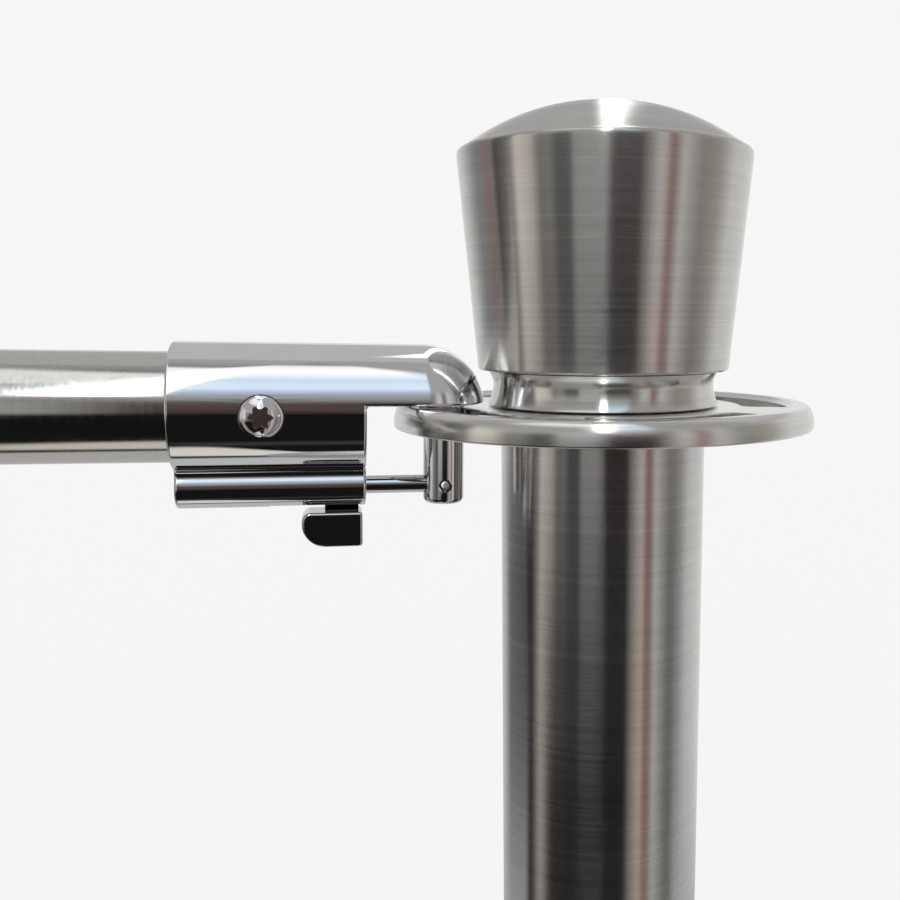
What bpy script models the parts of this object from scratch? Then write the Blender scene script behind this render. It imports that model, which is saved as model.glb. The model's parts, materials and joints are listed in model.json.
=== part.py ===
"""Slotted-ring barrier post with a rigid rail that locks into the ring by a latching hook.

Metres, +Z up. The origin is the centre of the floor pad's underside, on the post's axis.
The rail leaves the post along -X.
"""

from math import atan2, cos, pi, radians, sin, sqrt

import bmesh
import bpy
from mathutils import Euler, Matrix, Vector

GAP = 0.0003                    # running gap between pieces that touch
PAST = 0.0020                   # how far a cutter reaches past the face it opens

# ---- Post: driving dimensions ----
POST_HEIGHT = 1.000             # floor to the top of the crown
TUBE_R = 0.0254                 # 2 in post tube
TUBE_WALL = 0.0015
CROWN_H = 0.06345
CROWN_FOOT_R = 0.0309
CROWN_WIDE_R = 0.0357
CROWN_WIDE_H = 0.0504           # height of the widest ring above the crown's foot
CROWN_EDGE_R = 0.0339           # soft edge between the shoulder and the dome
CROWN_EDGE_H = 0.0527
CROWN_WALL = 0.0018
NECK_H = 0.0085
NECK_TOP_R = 0.0285
NECK_WAIST_R = 0.0273
NECK_FOOT_R = 0.0286
RING_R = 0.0515
RING_H = 0.0057                 # at its raised rim
RING_RIM = 0.0016               # round on the ring's edges
RING_RECESS = 0.0009            # how far the face inside the rim lies lower
RECESS_R = 0.0466
SLOT_IN_R = 0.0345
SLOT_OUT_R = 0.0458
SLOT_SPAN = radians(62)
SLOT_TURN = radians(10)         # middle of the first slot, from +X
SLOT_COUNT = 4
STUD_R = 0.0050
STUD_FOOT = -0.0360             # the stud's ends, from the crown's foot
STUD_HEAD = 0.0180
BORE_R = STUD_R + GAP           # hole for the stud
CROWN_INSERT_H = 0.0090
TOP_PLUG_H = 0.0120
STUD_WASHER_R = 0.0100
STUD_WASHER_H = 0.0016
NUT_R = 0.0092
NUT_H = 0.0060

# ---- Base ----
PAD_R = 0.1600
PAD_H = 0.0030
WEIGHT_R = 0.1500
WEIGHT_H = 0.0200
HUB_R = 0.0400
HUB_H = 0.0300
COVER_R = 0.1600
COVER_SKIRT_H = 0.0240
COVER_TOP_H = 0.0420
COVER_WALL = 0.0012
COLLAR_R = 0.0330
COLLAR_H = 0.0120
BOLT_R = 0.0060
BOLT_HEAD_R = 0.0100
BOLT_HEAD_H = 0.0070
BOLT_REACH = 0.0180             # how far the bolt goes up into the bottom plug
WASHER_R = 0.0140
WASHER_H = 0.0020
WASHER_SEAT_H = 0.0110          # depth of the bolt's pocket under the weight
BOTTOM_PLUG_H = 0.0200

# ---- Rail: driving dimensions ----
RAIL_SPAN = 1.000               # between the two finger axes
RAIL_TILT = radians(0.9)        # the loose hook lets the far end stand a little higher
RAIL_R = 0.0127                 # 1 in rail tube
RAIL_WALL = 0.0015
FINGER_RADIUS = 0.0397          # from the post axis to the finger axis

# ---- Hook, in its own frame: X out of the post along the rail, Z up, origin on the finger axis ----
HOOK_R = 0.0150
HOOK_END = 0.0614
NOSE_X = 0.0053                 # centre of the nose's round end
SEAT_Z = 0.0012                 # the nose's flat underside
CHEST_X = 0.0186                # face of the lower section, towards the finger
SOCKET_X = 0.0235               # bottom of the tube socket
BARREL_R = 0.0049
BARREL_Z = -0.0186
BARREL_BORE_R = 0.0038
BARREL_BORE_X = CHEST_X + 0.0015
VALLEY_R = 0.0016               # hollow round between socket and barrel
HOOK_EDGE = 0.0006
FINGER_R = 0.0049
FINGER_TOP = 0.0085
FINGER_FOOT = -0.0232
LATCH_R = 0.00215
LATCH_TIP = 0.0032
LATCH_TRAVEL = 0.0120
LATCH_COLLAR_R = 0.0035
LATCH_COLLAR_L = 0.0085
LATCH_FLAT = 0.0024             # flat under the collar, where the trigger's stem sits
GUIDE_R = 0.0016                # tail of the bolt, inside the spring
GUIDE_L = 0.0080
TRIGGER_STEM_L = 0.0078
TRIGGER_STEM_W = 0.0036
TRIGGER_X = 0.0195              # the lever's front
TRIGGER_L = 0.0140
TRIGGER_W = 0.0090
TRIGGER_TOP = -0.0246
TRIGGER_FOOT = -0.0328
TRIGGER_ROUND = 0.0050
TRIGGER_SCREW_R = 0.0012
TRIGGER_SCREW_HEAD_R = 0.0022
PLUG_L = 0.0060
SPRING_R = 0.0029
SPRING_WIRE_R = 0.00035
SPRING_TURNS = 6
CROSS_PIN_R = 0.00145
CROSS_PIN_WALL = 0.0005
CROSS_PIN_L = 0.0086
CROSS_PIN_GAP = 0.25            # half of the split, in radians
RAIL_SCREW_X = 0.0414
RAIL_SCREW_Z = -0.0010
RAIL_SCREW_R = 0.0022
RAIL_SCREW_HEAD_R = 0.0047
RAIL_SCREW_SEAT = 0.0147
RAIL_SCREW_FOOT = 0.0030
INSERT_LOW = 0.0270             # ends of the insert inside the rail tube
INSERT_HIGH = 0.0570

# ---- Heights along the post, from the top down ----
CROWN_Z = POST_HEIGHT - CROWN_H
NECK_Z = CROWN_Z - NECK_H
RING_TOP = NECK_Z - GAP         # the face inside the rim
RING_Z = RING_TOP + RING_RECESS - RING_H
TUBE_TOP = RING_Z - GAP
WEIGHT_Z = PAD_H + GAP
HUB_Z = WEIGHT_Z + HUB_H
TUBE_FOOT = HUB_Z + GAP
RAIL_Z = RING_TOP               # rail axis, at the finger


# ---------------------------------------------------------------- materials
def material(name, colour, metallic, roughness):
    """Make a plain Principled material."""
    made = bpy.data.materials.new(name)
    made.use_nodes = True
    shader = made.node_tree.nodes["Principled BSDF"]
    shader.inputs["Base Color"].default_value = (*colour, 1.0)
    shader.inputs["Metallic"].default_value = metallic
    shader.inputs["Roughness"].default_value = roughness
    return made


def clear_scene():
    """Remove every object and mesh of the start-up scene."""
    for old in list(bpy.data.objects):
        bpy.data.objects.remove(old, do_unlink=True)


clear_scene()

BRUSHED = (0.52, 0.50, 0.47)
POLISHED = (0.66, 0.65, 0.62)
CHROME = (0.78, 0.79, 0.81)
STEEL = (0.42, 0.42, 0.43)
IRON = (0.09, 0.09, 0.10)
RUBBER = (0.03, 0.03, 0.03)


# ---------------------------------------------------------------- mesh helpers
def finish(name, mesh_bm, finish_args, parent=None, place=None, smooth=True):
    """Turn a bmesh into a named object with its own material, under its parent."""
    bmesh.ops.remove_doubles(mesh_bm, verts=mesh_bm.verts, dist=1e-7)
    bmesh.ops.recalc_face_normals(mesh_bm, faces=mesh_bm.faces)
    mesh = bpy.data.meshes.new(name)
    mesh_bm.to_mesh(mesh)
    mesh_bm.free()
    if smooth:
        mesh.shade_smooth()
        mesh.set_sharp_from_angle(angle=radians(35))
    made = bpy.data.objects.new(name, mesh)
    bpy.context.scene.collection.objects.link(made)
    made.data.materials.append(material(name + "_finish", *finish_args))
    if parent is not None:
        made.parent = parent
    if place is not None:
        made.matrix_basis = place
    return made


def add_empty(name, place, parent=None):
    """Add an empty that carries a group of pieces."""
    made = bpy.data.objects.new(name, None)
    bpy.context.scene.collection.objects.link(made)
    made.parent = parent
    made.matrix_basis = place
    return made


def arc(centre_a, centre_b, radius, start, end, steps):
    """Points on an arc in a plane, angles in radians."""
    points = []
    for i in range(steps + 1):
        angle = start + (end - start) * i / steps
        points.append((centre_a + radius * cos(angle), centre_b + radius * sin(angle)))
    return points


def turned(profile, segments=40):
    """Revolve a closed outline of (radius, height) points about Z; radius 0 closes a pole."""
    made = bmesh.new()
    rings = []
    for radius, height in profile:
        if radius < 1e-9:
            rings.append([made.verts.new((0.0, 0.0, height))])
            continue
        ring = []
        for i in range(segments):
            angle = 2 * pi * i / segments
            ring.append(made.verts.new((radius * cos(angle), radius * sin(angle), height)))
        rings.append(ring)
    for this, after in zip(rings, rings[1:] + rings[:1]):
        if len(this) == 1 and len(after) == 1:
            continue
        for i in range(segments):
            j = (i + 1) % segments
            corners = [this[i % len(this)], this[j % len(this)]]
            corners += [after[j % len(after)], after[i % len(after)]]
            made.faces.new(list(dict.fromkeys(corners)))
    return made


def prism(outline, low, high):
    """Extrude a closed XY outline from z=low to z=high."""
    made = bmesh.new()
    floor = [made.verts.new((x, y, low)) for x, y in outline]
    roof = [made.verts.new((x, y, high)) for x, y in outline]
    made.faces.new(floor[::-1])
    made.faces.new(roof)
    count = len(outline)
    for i in range(count):
        j = (i + 1) % count
        made.faces.new((floor[i], floor[j], roof[j], roof[i]))
    return made


def solid_round(radius, low, high, chamfer=0.0, segments=24):
    """A round bar along Z, with chamfered ends where a chamfer is given."""
    if chamfer > 0:
        low_edge = [(radius - chamfer, low), (radius, low + chamfer)]
        high_edge = [(radius, high - chamfer), (radius - chamfer, high)]
    else:
        low_edge = [(radius, low)]
        high_edge = [(radius, high)]
    return turned([(0.0, low)] + low_edge + high_edge + [(0.0, high)], segments)


def pipe(outer, inner, low, high, segments=40):
    """A plain tube along Z."""
    return turned([(inner, low), (outer, low), (outer, high), (inner, high)], segments)


ALONG_X = Matrix.Rotation(pi / 2, 4, "Y")        # turns a piece made along Z to lie along X
ALONG_Y = Matrix.Rotation(-pi / 2, 4, "X")       # turns a piece made along Z to lie along +Y


def cut(target, cutters, operation="DIFFERENCE"):
    """Take closed bmeshes, given with their places, out of an object, or join them to it."""
    for number, (cutter_bm, place) in enumerate(cutters):
        name = "%s_%s_%d" % (target.name, operation.lower(), number)
        bmesh.ops.recalc_face_normals(cutter_bm, faces=cutter_bm.faces)
        mesh = bpy.data.meshes.new(name)
        cutter_bm.to_mesh(mesh)
        cutter_bm.free()
        cutter = bpy.data.objects.new(name, mesh)
        bpy.context.scene.collection.objects.link(cutter)
        cutter.parent = target.parent
        cutter.matrix_basis = place
        cutter.hide_render = True
        cutter.display_type = "WIRE"
        modifier = target.modifiers.new(name, "BOOLEAN")
        modifier.operation = operation
        modifier.solver = "EXACT"
        modifier.object = cutter


# ---------------------------------------------------------------- post
def crown_outside():
    """Outer profile of the crown from foot to apex: cone, soft shoulder, dome."""
    lean = (CROWN_WIDE_R - CROWN_FOOT_R) / CROWN_WIDE_H
    sag = CROWN_H - CROWN_EDGE_H
    dome_r = (CROWN_EDGE_R ** 2 + sag ** 2) / (2 * sag)
    points = [(CROWN_FOOT_R - 0.0008, 0.0), (CROWN_FOOT_R, 0.0008)]
    points.append((CROWN_WIDE_R - lean * 0.012, CROWN_WIDE_H - 0.012))
    shoulder = (CROWN_WIDE_R + 0.0002, (CROWN_WIDE_H + CROWN_EDGE_H) / 2 + 0.0004)
    points += [(CROWN_WIDE_R, CROWN_WIDE_H), shoulder, (CROWN_EDGE_R, CROWN_EDGE_H)]
    for i in range(1, 6):
        radius = CROWN_EDGE_R * (1 - i / 5)
        points.append((radius, CROWN_H - dome_r + sqrt(dome_r ** 2 - radius ** 2)))
    return points


def build_crown():
    """Spun hollow crown, its threaded insert, and the stud that holds it down."""
    outside = crown_outside()
    inside_r = CROWN_FOOT_R - CROWN_WALL
    inside = [(0.0, CROWN_H - CROWN_WALL), (0.0200, CROWN_H - 0.0052)]
    inside += [(CROWN_EDGE_R - 0.0020, CROWN_EDGE_H - 0.0028)]
    inside += [(CROWN_WIDE_R - CROWN_WALL - 0.0004, CROWN_WIDE_H - 0.0040), (inside_r, 0.0)]
    finish("crown", turned(outside + inside, 40), (BRUSHED, 1.0, 0.30),
           place=Matrix.Translation((0, 0, CROWN_Z)))
    insert = turned([(BORE_R, 0.0), (inside_r - GAP - 0.0005, 0.0), (inside_r - GAP, 0.0005),
                     (inside_r - GAP, CROWN_INSERT_H), (BORE_R, CROWN_INSERT_H)], 24)
    finish("crown_insert", insert, (STEEL, 1.0, 0.45), place=Matrix.Translation((0, 0, CROWN_Z)))
    finish("crown_stud", solid_round(STUD_R, STUD_FOOT, STUD_HEAD, 0.0008, 20), (STEEL, 1.0, 0.35),
           place=Matrix.Translation((0, 0, CROWN_Z)))


def build_neck():
    """Waisted collar between the crown and the ring."""
    outside = []
    steps = 6
    for i in range(steps + 1):
        share = i / steps
        flare = NECK_FOOT_R + (NECK_TOP_R - NECK_FOOT_R) * share
        dip = (flare - NECK_WAIST_R) * sin(pi * min(1.0, share / 0.9)) ** 0.8
        outside.append((flare - dip, NECK_H * share - GAP * share))
    profile = [(BORE_R, 0.0)] + outside + [(BORE_R, NECK_H - GAP)]
    finish("neck_collar", turned(profile, 36), (BRUSHED, 1.0, 0.22),
           place=Matrix.Translation((0, 0, NECK_Z)))


def slot_outline(middle):
    """Closed outline of one arc-shaped slot with round corners."""
    corner = 0.0030
    outer = SLOT_SPAN / 2 - corner / (SLOT_OUT_R - corner)
    inner = SLOT_SPAN / 2 - corner / (SLOT_IN_R + corner)
    outline = []
    outline += arc(0, 0, SLOT_OUT_R, middle - outer, middle + outer, 7)
    for radius, turn, first in ((SLOT_OUT_R - corner, outer, 0.0), (SLOT_IN_R + corner, inner, pi / 2)):
        centre = Vector((cos(middle + turn), sin(middle + turn))) * radius
        outline += arc(centre.x, centre.y, corner, middle + turn + first,
                       middle + turn + first + pi / 2, 2)[1:]
    outline += arc(0, 0, SLOT_IN_R, middle + inner, middle - inner, 5)[1:]
    for radius, turn, first in ((SLOT_IN_R + corner, inner, pi), (SLOT_OUT_R - corner, outer, 1.5 * pi)):
        centre = Vector((cos(middle - turn), sin(middle - turn))) * radius
        outline += arc(centre.x, centre.y, corner, middle - turn + first,
                       middle - turn + first + pi / 2, 2)[1:]
    return outline[:-1]


def build_ring():
    """Flat ring plate with a rounded rim and four slots, clamped between tube and neck."""
    rim = RING_RIM
    edge = arc(RING_R - rim, rim, rim, -pi / 2, 0, 2) + arc(RING_R - rim, RING_H - rim, rim, 0, pi / 2, 2)
    face = RING_H - RING_RECESS
    plate = turned([(BORE_R, 0.0)] + edge + [(RECESS_R + RING_RECESS, RING_H), (RECESS_R, face),
                                             (BORE_R, face)], 48)
    ring = finish("slotted_ring", plate, (BRUSHED, 1.0, 0.28), place=Matrix.Translation((0, 0, RING_Z)))
    cutters = []
    for i in range(SLOT_COUNT):
        outline = slot_outline(SLOT_TURN + 2 * pi * i / SLOT_COUNT)
        cutters.append((prism(outline, -PAST, RING_H + PAST), Matrix.Translation((0, 0, RING_Z))))
    cut(ring, cutters)


def build_post():
    """Post tube with a plug at each end, and the nut and washer under the top plug."""
    finish("post_tube", pipe(TUBE_R, TUBE_R - TUBE_WALL, TUBE_FOOT, TUBE_TOP, 40), (BRUSHED, 1.0, 0.28))
    plug_r = TUBE_R - TUBE_WALL - GAP
    finish("tube_top_plug", pipe(plug_r, BORE_R, TUBE_TOP - TOP_PLUG_H, TUBE_TOP, 24), (STEEL, 1.0, 0.45))
    washer_top = TUBE_TOP - TOP_PLUG_H - GAP
    washer_low = washer_top - STUD_WASHER_H
    finish("stud_washer", pipe(STUD_WASHER_R, BORE_R, washer_low, washer_top, 20), (STEEL, 1.0, 0.40))
    nut_top = washer_low - GAP
    hexagon = solid_round(NUT_R, nut_top - NUT_H, nut_top, 0.0, 6)
    nut = finish("stud_nut", hexagon, (STEEL, 1.0, 0.35), smooth=False)
    cut(nut, [(solid_round(BORE_R, nut_top - NUT_H - PAST, nut_top + PAST, 0.0, 20), Matrix.Identity(4))])
    thread_r = BOLT_R + GAP
    finish("tube_bottom_plug", pipe(plug_r, thread_r, TUBE_FOOT, TUBE_FOOT + BOTTOM_PLUG_H, 24),
           (STEEL, 1.0, 0.45))


def build_base():
    """Rubber pad, cast weight, spun cover, collar, and the bolt that draws the tube down."""
    pad = solid_round(PAD_R, 0.0, PAD_H, 0.0008, 40)
    finish("floor_pad", pad, (RUBBER, 0.0, 0.85))
    seat_h = WASHER_SEAT_H
    seat_r = WASHER_R + 0.0010
    hole_r = BOLT_R + 0.0005
    weight = [(hole_r, seat_h), (seat_r, seat_h), (seat_r, 0.0), (WEIGHT_R - 0.002, 0.0)]
    weight += [(WEIGHT_R, 0.002), (WEIGHT_R, WEIGHT_H - 0.006), (WEIGHT_R - 0.006, WEIGHT_H)]
    weight += [(HUB_R + 0.010, WEIGHT_H), (HUB_R, WEIGHT_H + 0.004), (HUB_R, HUB_H), (hole_r, HUB_H)]
    finish("base_weight", turned(weight, 32), (IRON, 0.3, 0.70),
           place=Matrix.Translation((0, 0, WEIGHT_Z)))
    washer_top = WEIGHT_Z + seat_h - GAP
    finish("base_washer", pipe(WASHER_R, BOLT_R + GAP, washer_top - WASHER_H, washer_top, 20),
           (STEEL, 1.0, 0.40))
    head_top = washer_top - WASHER_H - GAP
    head_low = head_top - BOLT_HEAD_H
    tip = TUBE_FOOT + BOLT_REACH
    bolt = turned([(0.0, head_low), (BOLT_HEAD_R, head_low), (BOLT_HEAD_R, head_top), (BOLT_R, head_top),
                   (BOLT_R, tip), (0.0, tip)], 18)
    finish("base_bolt", bolt, (STEEL, 1.0, 0.35))
    outside = cover_profile(0.0)
    inside = cover_profile(COVER_WALL)
    finish("base_cover", turned(outside + inside[::-1], 40), (BRUSHED, 1.0, 0.28),
           place=Matrix.Translation((0, 0, PAD_H + GAP)))
    collar_low = PAD_H + GAP + COVER_TOP_H + GAP
    collar = [(TUBE_R + GAP, 0.0), (COLLAR_R, 0.0), (COLLAR_R, 0.0025)]
    collar += arc(COLLAR_R, COLLAR_H, COLLAR_R - 0.0280, 1.5 * pi, pi, 3)[1:]
    collar += [(0.0272, COLLAR_H), (TUBE_R + GAP, COLLAR_H - 0.0008)]
    finish("base_collar", turned(collar, 36), (BRUSHED, 1.0, 0.22),
           place=Matrix.Translation((0, 0, collar_low)))


def cover_profile(inset):
    """Outline of the spun cover from its skirt to its hole, moved in by the wall."""
    hole_r = TUBE_R + GAP
    shoulder = 0.010
    points = [(COVER_R - inset, 0.0), (COVER_R - inset, COVER_SKIRT_H - shoulder)]
    points += arc(COVER_R - shoulder, COVER_SKIRT_H - shoulder, shoulder - inset, 0, pi / 2, 3)[1:]
    low = COVER_SKIRT_H - inset
    high = COVER_TOP_H - inset
    reach_out = COVER_R - shoulder
    reach_in = 0.0430
    for i in range(1, 6):
        share = i / 5
        radius = reach_out + (reach_in - reach_out) * share
        points.append((radius, low + (high - low) * (share ** 1.6)))
    points.append((hole_r, high))
    return points


# ---------------------------------------------------------------- hook
def lower_section():
    """Closed Y-Z outline of the lower section: half round, hollow round, barrel round."""
    drop = -BARREL_Z
    reach = HOOK_R + VALLEY_R
    barrel_reach = BARREL_R + VALLEY_R
    down = (drop ** 2 + reach ** 2 - barrel_reach ** 2) / (2 * drop)
    side = sqrt(reach ** 2 - down ** 2)
    meet_hook = -atan2(down, side)
    meet_barrel = atan2(drop - down, side)
    half = arc(0, 0, HOOK_R, 0, meet_hook, 7)
    half += arc(side, -down, VALLEY_R, pi + meet_hook, pi + meet_barrel, 2)[1:]
    half += arc(0, BARREL_Z, BARREL_R, meet_barrel, -pi / 2, 5)[1:]
    other = [(-y, z) for y, z in half[-2::-1]]
    return half + other


def hook_body():
    """The casting as one skin: sections along X, from the tube end to the round nose."""
    made = bmesh.new()
    lower = lower_section()
    arch = arc(0, 0, HOOK_R, pi, 0, 16)
    full = lower + arch[1:-1]
    edge = HOOK_EDGE

    def ring_at(x, shrink):
        scale = 1 - shrink / HOOK_R
        return [made.verts.new((x, y * scale, z * scale)) for y, z in full]

    end = ring_at(HOOK_END, edge)
    end_full = ring_at(HOOK_END - edge, 0.0)
    chest = ring_at(CHEST_X, 0.0)
    made.faces.new(end)
    for first, second in ((end, end_full), (end_full, chest)):
        for i in range(len(full)):
            j = (i + 1) % len(full)
            made.faces.new((first[i], first[j], second[j], second[i]))
    low_count = len(lower)
    chest_low = chest[:low_count]
    chest_arch = [chest[low_count - 1]] + chest[low_count:] + [chest[0]]
    made.faces.new(chest_low)
    last = chest_arch
    steps = 6
    for k in range(steps + 1):
        angle = pi / 2 * k / steps
        x = NOSE_X - HOOK_R * sin(angle)
        row = [made.verts.new((x, y * cos(angle), z * cos(angle))) for y, z in arch]
        if k == steps:
            row = row[:1]
        for i in range(len(arch) - 1):
            corners = [last[i], last[i + 1], row[(i + 1) % len(row)], row[i % len(row)]]
            made.faces.new(list(dict.fromkeys(corners)))
        made.faces.new(list(dict.fromkeys((last[0], row[0], row[-1], last[-1]))))
        last = row
    return made


def build_housing(prefix, parent):
    """Die-cast hook housing with its socket, barrel bore, trigger slot and holes."""
    housing = finish(prefix + "hook_housing", hook_body(), (CHROME, 1.0, 0.08), parent)
    socket = solid_round(RAIL_R + GAP, SOCKET_X, HOOK_END + PAST, 0.0, 32)
    bore = solid_round(BARREL_BORE_R, BARREL_BORE_X, HOOK_END + PAST, 0.0, 20)
    nose_hole = solid_round(FINGER_R + GAP, -PAST, FINGER_TOP + GAP, 0.0, 24)
    latch_hole = solid_round(LATCH_R + GAP, CHEST_X - PAST, BARREL_BORE_X + PAST, 0.0, 16)
    slot_low = BARREL_BORE_X
    slot_high = BARREL_BORE_X + TRIGGER_STEM_L + LATCH_TRAVEL + 3 * GAP
    half = TRIGGER_STEM_W / 2 + GAP
    slot = prism([(slot_low, -half), (slot_high, -half), (slot_high, half), (slot_low, half)],
                 BARREL_Z - BARREL_R - PAST, BARREL_Z)
    screw_hole = solid_round(RAIL_SCREW_R + GAP, RAIL_R - PAST, HOOK_R + PAST, 0.0, 16)
    screw_seat = solid_round(RAIL_SCREW_HEAD_R + GAP, RAIL_SCREW_SEAT - GAP, HOOK_R + PAST, 0.0, 24)
    at_screw = Matrix.Translation((RAIL_SCREW_X, 0, RAIL_SCREW_Z)) @ ALONG_Y
    at_barrel = Matrix.Translation((0, 0, BARREL_Z)) @ ALONG_X
    wide = HOOK_R + PAST
    under = prism([(-wide, -wide), (CHEST_X, -wide), (CHEST_X, wide), (-wide, wide)], -wide, SEAT_Z)
    cut(housing, [(under, Matrix.Identity(4)), (socket, ALONG_X), (bore, at_barrel), (latch_hole, at_barrel),
                  (nose_hole, Matrix.Identity(4)), (slot, Matrix.Identity(4)),
                  (screw_hole, at_screw), (screw_seat, at_screw)])


def build_finger(prefix, parent):
    """Finger pressed into the nose, with a side bore for the latch and a split cross pin."""
    finger = finish(prefix + "finger", solid_round(FINGER_R, FINGER_FOOT, FINGER_TOP, 0.0012, 24),
                    (CHROME, 1.0, 0.08), parent)
    at_barrel = Matrix.Translation((0, 0, BARREL_Z))
    side_bore = solid_round(LATCH_R + GAP, LATCH_TIP - GAP, FINGER_R + PAST, 0.0, 16)
    cross_hole = solid_round(CROSS_PIN_R + GAP, -FINGER_R - PAST, FINGER_R + PAST, 0.0, 16)
    cut(finger, [(side_bore, at_barrel @ ALONG_X), (cross_hole, at_barrel @ ALONG_Y)])
    split = CROSS_PIN_GAP
    outline = arc(0, 0, CROSS_PIN_R, split, 2 * pi - split, 14)
    outline += arc(0, 0, CROSS_PIN_R - CROSS_PIN_WALL, 2 * pi - split, split, 14)
    pin = prism(outline, -CROSS_PIN_L / 2, CROSS_PIN_L / 2)
    finish(prefix + "cross_pin", pin, (STEEL, 1.0, 0.40), parent,
           at_barrel @ ALONG_Y @ Matrix.Rotation(pi / 2, 4, "Z"))


def build_latch(prefix, parent):
    """Sprung latch bolt with the trigger screwed to its collar; the empty is on the slide's axis."""
    axis = add_empty(prefix + "latch_slide", Matrix.Translation((0, 0, BARREL_Z)), parent)
    collar_x = BARREL_BORE_X + GAP
    collar_end = collar_x + LATCH_COLLAR_L
    guide_end = collar_end + GUIDE_L
    profile = [(0.0, LATCH_TIP), (LATCH_R - 0.0005, LATCH_TIP), (LATCH_R, LATCH_TIP + 0.0005)]
    profile += [(LATCH_R, collar_x), (LATCH_COLLAR_R, collar_x), (LATCH_COLLAR_R, collar_end)]
    profile += [(GUIDE_R, collar_end), (GUIDE_R, guide_end), (0.0, guide_end)]
    bolt = finish(prefix + "latch_bolt", turned(profile, 20), (STEEL, 1.0, 0.22), axis, ALONG_X)
    stem_mid = collar_x + TRIGGER_STEM_L / 2
    wide = 0.0060
    flat = prism([(-wide, -wide), (wide, -wide), (wide, wide), (-wide, wide)], -wide, -LATCH_FLAT)
    tapped = solid_round(TRIGGER_SCREW_R + GAP, -wide, 0.0012, 0.0, 12)
    at_stem = Matrix.Translation((stem_mid, 0, 0))
    cut(bolt, [(flat, at_stem), (tapped, at_stem)])

    trigger = finish(prefix + "trigger", trigger_lever(), (CHROME, 1.0, 0.12), axis)
    half = TRIGGER_STEM_W / 2
    stem_end = collar_x + TRIGGER_STEM_L
    stem = prism([(collar_x, -half), (stem_end, -half), (stem_end, half), (collar_x, half)],
                 TRIGGER_TOP - BARREL_Z - 0.001, -LATCH_FLAT - GAP)
    cut(trigger, [(stem, Matrix.Identity(4))], "UNION")
    foot = TRIGGER_FOOT - BARREL_Z
    screw_hole = solid_round(TRIGGER_SCREW_R + GAP, foot - PAST, 0.0, 0.0, 12)
    head_hole = solid_round(TRIGGER_SCREW_HEAD_R + GAP, foot - PAST, foot + 0.0020, 0.0, 16)
    cut(trigger, [(screw_hole, at_stem), (head_hole, at_stem)])
    head_low = foot + 0.0004
    head_high = head_low + 0.0013
    screw = turned([(0.0, head_low), (TRIGGER_SCREW_HEAD_R, head_low), (TRIGGER_SCREW_HEAD_R, head_high),
                    (TRIGGER_SCREW_R, head_high), (TRIGGER_SCREW_R, 0.0008), (0.0, 0.0008)], 12)
    finish(prefix + "trigger_screw", screw, (STEEL, 1.0, 0.35), axis, at_stem)


def trigger_lever():
    """Thumb lever below the barrel, its free lower corner rounded, as a prism along Y."""
    top = TRIGGER_TOP - BARREL_Z
    foot = TRIGGER_FOOT - BARREL_Z
    front = TRIGGER_X
    tip = front + TRIGGER_L
    round_r = TRIGGER_ROUND
    small = 0.0012
    side = [(front, foot + small), (front, top)]
    side += [(tip - small, top), (tip, top - small)]
    side += arc(tip - round_r, foot + round_r, round_r, 0.0, -pi / 2, 5)
    side += [(front + small, foot)]
    made = prism(side, -TRIGGER_W / 2, TRIGGER_W / 2)
    bmesh.ops.transform(made, matrix=Matrix.Rotation(pi / 2, 4, "X"), verts=made.verts)
    return made


def build_spring(prefix, parent):
    """Helical spring between the latch collar and the barrel plug."""
    start = BARREL_BORE_X + GAP + LATCH_COLLAR_L + GAP + SPRING_WIRE_R
    end = HOOK_END - PLUG_L - GAP - SPRING_WIRE_R
    made = bmesh.new()
    per_turn = 10
    count = SPRING_TURNS * per_turn
    sides = 4
    rings = []
    for i in range(count + 1):
        share = i / count
        angle = 2 * pi * SPRING_TURNS * share
        outward = Vector((0, cos(angle), sin(angle)))
        middle = outward * SPRING_R + Vector((start + (end - start) * share, 0, 0))
        ring = []
        for k in range(sides):
            turn = 2 * pi * k / sides
            offset = outward * (SPRING_WIRE_R * cos(turn)) + Vector((SPRING_WIRE_R * sin(turn), 0, 0))
            ring.append(made.verts.new(middle + offset))
        rings.append(ring)
    for this, after in zip(rings, rings[1:]):
        for k in range(sides):
            j = (k + 1) % sides
            made.faces.new((this[k], this[j], after[j], after[k]))
    made.faces.new(rings[0])
    made.faces.new(rings[-1][::-1])
    finish(prefix + "latch_spring", made, (STEEL, 1.0, 0.30), parent,
           Matrix.Translation((0, 0, BARREL_Z)))


def build_plug(prefix, parent):
    """Slotted plug that closes the barrel behind the spring."""
    plug = finish(prefix + "barrel_plug",
                  solid_round(BARREL_BORE_R - GAP, HOOK_END - PLUG_L, HOOK_END - 0.0004, 0.0003, 20),
                  (STEEL, 1.0, 0.30), parent, Matrix.Translation((0, 0, BARREL_Z)) @ ALONG_X)
    wide = 0.0050
    half = 0.0005
    slot = prism([(-wide, -half), (wide, -half), (wide, half), (-wide, half)], -0.0018, PAST)
    cut(plug, [(slot, Matrix.Translation((HOOK_END, 0, BARREL_Z)) @ ALONG_X)])


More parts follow.
